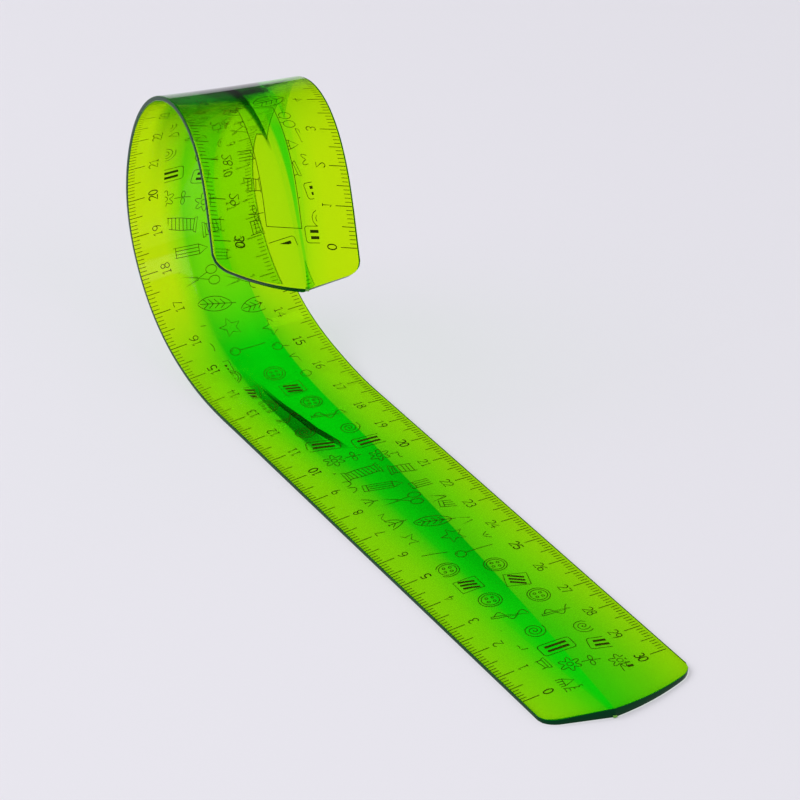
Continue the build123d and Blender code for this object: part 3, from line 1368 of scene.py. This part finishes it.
    def _frame_lines(self, ink: bmesh.types.BMesh) -> None:
        """Add the thin outline of the name box."""
        start, stop, half = self.name_box
        for side in (-1, 1):
            middle = Matrix.Translation(((start + stop) / 2, side * half, 0))
            lay_bar(ink, middle, (stop - start, 2 * self.line))
        for place in (start, stop):
            lay_bar(ink, Matrix.Translation((place, 0, 0)), (2 * self.line, 2 * half))

    def _sheet(self) -> bmesh.types.BMesh:
        """Return all the ink, laid flat, in metres, at its depth in the strip."""
        ink = bmesh.new()
        self._ticks(ink)
        self._frame_lines(ink)
        self._thicken(ink)
        self._numbers(ink)
        drawings = self._drawings()
        mesh = bpy.data.meshes.new("drawings")
        drawings.to_mesh(mesh)
        drawings.free()
        ink.from_mesh(mesh)
        bpy.data.meshes.remove(mesh)
        bmesh.ops.translate(ink, verts=ink.verts, vec=(0, 0, self.depth))
        bmesh.ops.scale(ink, verts=ink.verts, vec=(MM, MM, MM))
        return ink

    def build(self, material: bpy.types.Material) -> list:
        """Print the ink, cut into the same lengths as the skin.

        Args:
            material: the ink's finish.

        Returns:
            The pieces.
        """
        rest = self._sheet()
        made = []
        for stretch in self.strip.stretches():
            length = rest.copy()
            cut(length, (stretch.stop, 0, 0), (1, 0, 0), True)
            cut(rest, (stretch.stop, 0, 0), (-1, 0, 0), True)
            if not length.faces:
                length.free()
                continue
            if len(stretch.bodies) == 2 or stretch.start > self.strip.path.start:
                for step in range(1, round((stretch.stop - stretch.start) / MM)):
                    cut(length, (stretch.start + step * MM, 0, 0), (1, 0, 0), False)
            piece = set_down(length, f"ink_{stretch.name}", self.strip.path, material)
            self.strip.hang(piece, stretch)
            made.append(piece)
        rest.free()
        return made


def cut(flat: bmesh.types.BMesh, place: tuple, away: tuple, clear: bool) -> None:
    """Cut a mesh across with a plane.

    Args:
        flat: the mesh.
        place: a point on the plane.
        away: the plane's normal.
        clear: whether what lies on the normal's side is removed.
    """
    geometry = flat.verts[:] + flat.edges[:] + flat.faces[:]
    bmesh.ops.bisect_plane(flat, geom=geometry, dist=1e-9, plane_co=place, plane_no=away, clear_outer=clear)


def direction(around: float, up: float) -> Vector:
    """Return a direction, given in degrees around and degrees up."""
    around, up = math.radians(around), math.radians(up)
    return Vector((math.cos(up) * math.cos(around), math.cos(up) * math.sin(around), math.sin(up)))


@dataclass(frozen=True)
class SoftLamp:
    """A soft rectangular lamp.

    Attributes:
        name: its name.
        towards: the direction that it stands in, as degrees around and degrees up.
        away: how far away it stands.
        size: its width and height.
        power: its power in watts.
    """

    name: str
    towards: tuple
    away: float
    size: tuple
    power: float

    def light(self, target: tuple) -> bpy.types.Object:
        """Add the lamp.

        Args:
            target: the point that it stands round and faces.

        Returns:
            The lamp.
        """
        data = bpy.data.lights.new(self.name, "AREA")
        data.shape = "RECTANGLE"
        data.size, data.size_y = self.size
        data.energy = self.power
        item = bpy.data.objects.new(self.name, data)
        way = direction(*self.towards)
        item.location = Vector(target) + way * self.away
        item.rotation_euler = (-way).to_track_quat("-Z", "Y").to_euler()
        bpy.context.scene.collection.objects.link(item)
        return item


@dataclass
class Studio:
    """The table, the lamps, the world and the camera.

    Attributes:
        eye: where the camera stands.
        azimuth: the way that it looks, in degrees around.
        dip: how far it looks down, in degrees.
        roll: how far it is rolled, in degrees.
        focal_pixels: its focal length in the picture's pixels.
        picture: the picture's width in pixels.
        sensor: its sensor's width in millimetres.
        clip: the nearest and the farthest that it sees.
        backdrop: the colour of the table.
        table_middle: where the table's middle lies along the strip.
        table_half: half the table's width.
        table_cells: how many cells its mesh has each way.
        table_drop: how far it lies below the strip.
        table_fold: where it begins to fall away.
        table_fall: how steeply it falls, in degrees.
        table_glow: how much of its light is its own, so that shadows stay faint.
        ambient: the strength of the room's light.
        low_wall: the heights and the shades of the dark room that gloss shows.
        lit_point: the point that the lamps stand round.
        lamps: the lamps.
    """

    eye: tuple = (-0.4955, 0.3381, 0.43822)
    azimuth: float = -30.399
    dip: float = 31.618
    roll: float = -0.584
    focal_pixels: float = 3475.6
    picture: int = 800
    sensor: float = 36.0
    clip: tuple = (0.01, 20.0)
    backdrop: tuple = (0.791, 0.776, 0.838)
    table_middle: float = 0.1
    table_half: float = 3.0
    table_cells: int = 8
    table_drop: float = 0.06 * MM
    table_fold: float = 117.0 * MM
    table_fall: float = 0.4
    table_glow: float = 0.4
    ambient: float = 0.55
    low_wall: tuple = ((0.2, 0.1), (0.42, 0.01))
    lit_point: tuple = (0.12, 0.0, 0.02)
    lamps: tuple = (
        SoftLamp("soft_box_left", (70, 48), 2.0, (1.6, 1.6), 30.0),
        SoftLamp("tall_box_behind_viewer", (-170, 30), 1.6, (0.36, 1.25), 5.0),
        SoftLamp("small_box_overhead", (-72, 75), 1.6, (0.2, 0.2), 0.25),
    )

    def camera(self) -> bpy.types.Object:
        """Return the camera, at the photograph's viewpoint."""
        roll = math.radians(self.roll)
        ahead = direction(self.azimuth, -self.dip)
        right = ahead.cross(Vector((0, 0, 1))).normalized()
        above = right.cross(ahead)
        turned_right = right * math.cos(roll) + above * math.sin(roll)
        turned_above = above * math.cos(roll) - right * math.sin(roll)
        data = bpy.data.cameras.new("viewpoint")
        data.sensor_width = self.sensor
        data.lens = self.sensor * self.focal_pixels / self.picture
        data.clip_start, data.clip_end = self.clip
        eye = bpy.data.objects.new("viewpoint", data)
        turn = Matrix((turned_right, turned_above, -ahead)).transposed().to_4x4()
        eye.matrix_world = Matrix.Translation(Vector(self.eye)) @ turn
        bpy.context.scene.collection.objects.link(eye)
        bpy.context.scene.camera = eye
        return eye

    def table(self) -> bpy.types.Object:
        """Return the pale table top.

        Past the strip's flat run it falls away by a hair, so that it stays clear of the curl when
        that is laid straight.
        """
        top = bmesh.new()
        cells = self.table_cells
        bmesh.ops.create_grid(top, x_segments=cells, y_segments=cells, size=self.table_half)
        bmesh.ops.translate(top, verts=top.verts, vec=(self.table_middle, 0, -self.table_drop))
        cut(top, (self.table_fold, 0, 0), (1, 0, 0), False)
        beyond = [vert for vert in top.verts if vert.co.x > self.table_fold]
        fall = Matrix.Rotation(math.radians(self.table_fall), 3, "Y")
        bmesh.ops.rotate(top, verts=beyond, cent=(self.table_fold, 0, -self.table_drop), matrix=fall)
        mesh = bpy.data.meshes.new("table_top")
        top.to_mesh(mesh)
        top.free()
        piece = bpy.data.objects.new("table_top", mesh)
        bpy.context.scene.collection.objects.link(piece)
        mesh.materials.append(self._table_finish())
        return piece

    @staticmethod
    def _seen(tree: bpy.types.NodeTree) -> bpy.types.NodeSocket:
        """Return a value that is 1 for camera rays, mirror rays and rays through the plastic."""
        light = add(tree, "LightPath", {}).outputs
        near = arithmetic(tree, "MAXIMUM", light["Is Camera Ray"], light["Is Glossy Ray"])
        return arithmetic(tree, "MAXIMUM", near, light["Is Transmission Ray"])

    def _table_finish(self) -> bpy.types.Material:
        """Return the table's finish: pale, and partly lit from below so that shadows stay faint."""
        material = Finish.TABLE.blank()
        tree = material.node_tree
        matt = tuple(part * (1 - self.table_glow) for part in self.backdrop)
        feed(tree, tree.nodes["Principled BSDF"], {
            "Base Color": (*matt, 1.0),
            "Roughness": 0.9,
            "Specular IOR Level": 0.0,
            "Emission Color": (*self.backdrop, 1.0),
            "Emission Strength": arithmetic(tree, "MULTIPLY", self._seen(tree), self.table_glow),
        })
        return material

    def world(self) -> None:
        """Give the world a plain pale light, and show gloss a dark room."""
        world = bpy.data.worlds.new("pale_room")
        world.use_nodes = True
        tree = world.node_tree
        place = add(tree, "TexCoord", {}).outputs["Generated"]
        height = add(tree, "SeparateXYZ", {0: place}).outputs["Z"]
        wall = ramp(tree, height, [(level, (shade, shade, shade)) for level, shade in self.low_wall])
        dark = tree.nodes["Background"]
        feed(tree, dark, {"Color": wall})
        pale = add(tree, "Background", {"Strength": self.ambient})
        room = add(tree, "MixShader", {"Fac": self._seen(tree), 1: pale.outputs[0], 2: dark.outputs[0]})
        feed(tree, tree.nodes["World Output"], {"Surface": room.outputs[0]})
        bpy.context.scene.world = world

    def build(self) -> None:
        """Set up the whole stage."""
        self.camera()
        self.table()
        self.world()
        for lamp in self.lamps:
            lamp.light(self.lit_point)
        bpy.context.scene.view_settings.view_transform = "Standard"


def main() -> None:
    """Build the ruler and its stage."""
    logging.basicConfig(level=logging.INFO, format="%(name)s: %(message)s")
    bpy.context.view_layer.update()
    Studio().build()
    path = StripPath()
    strip = FlexStrip(path, StripShape())
    strip.build(ClearGreen().skin())
    strip.add_gates(TORN_GATE.material())
    PrintedFace(strip).build(BLACK_INK.material())


if __name__ == "__main__":
    main()
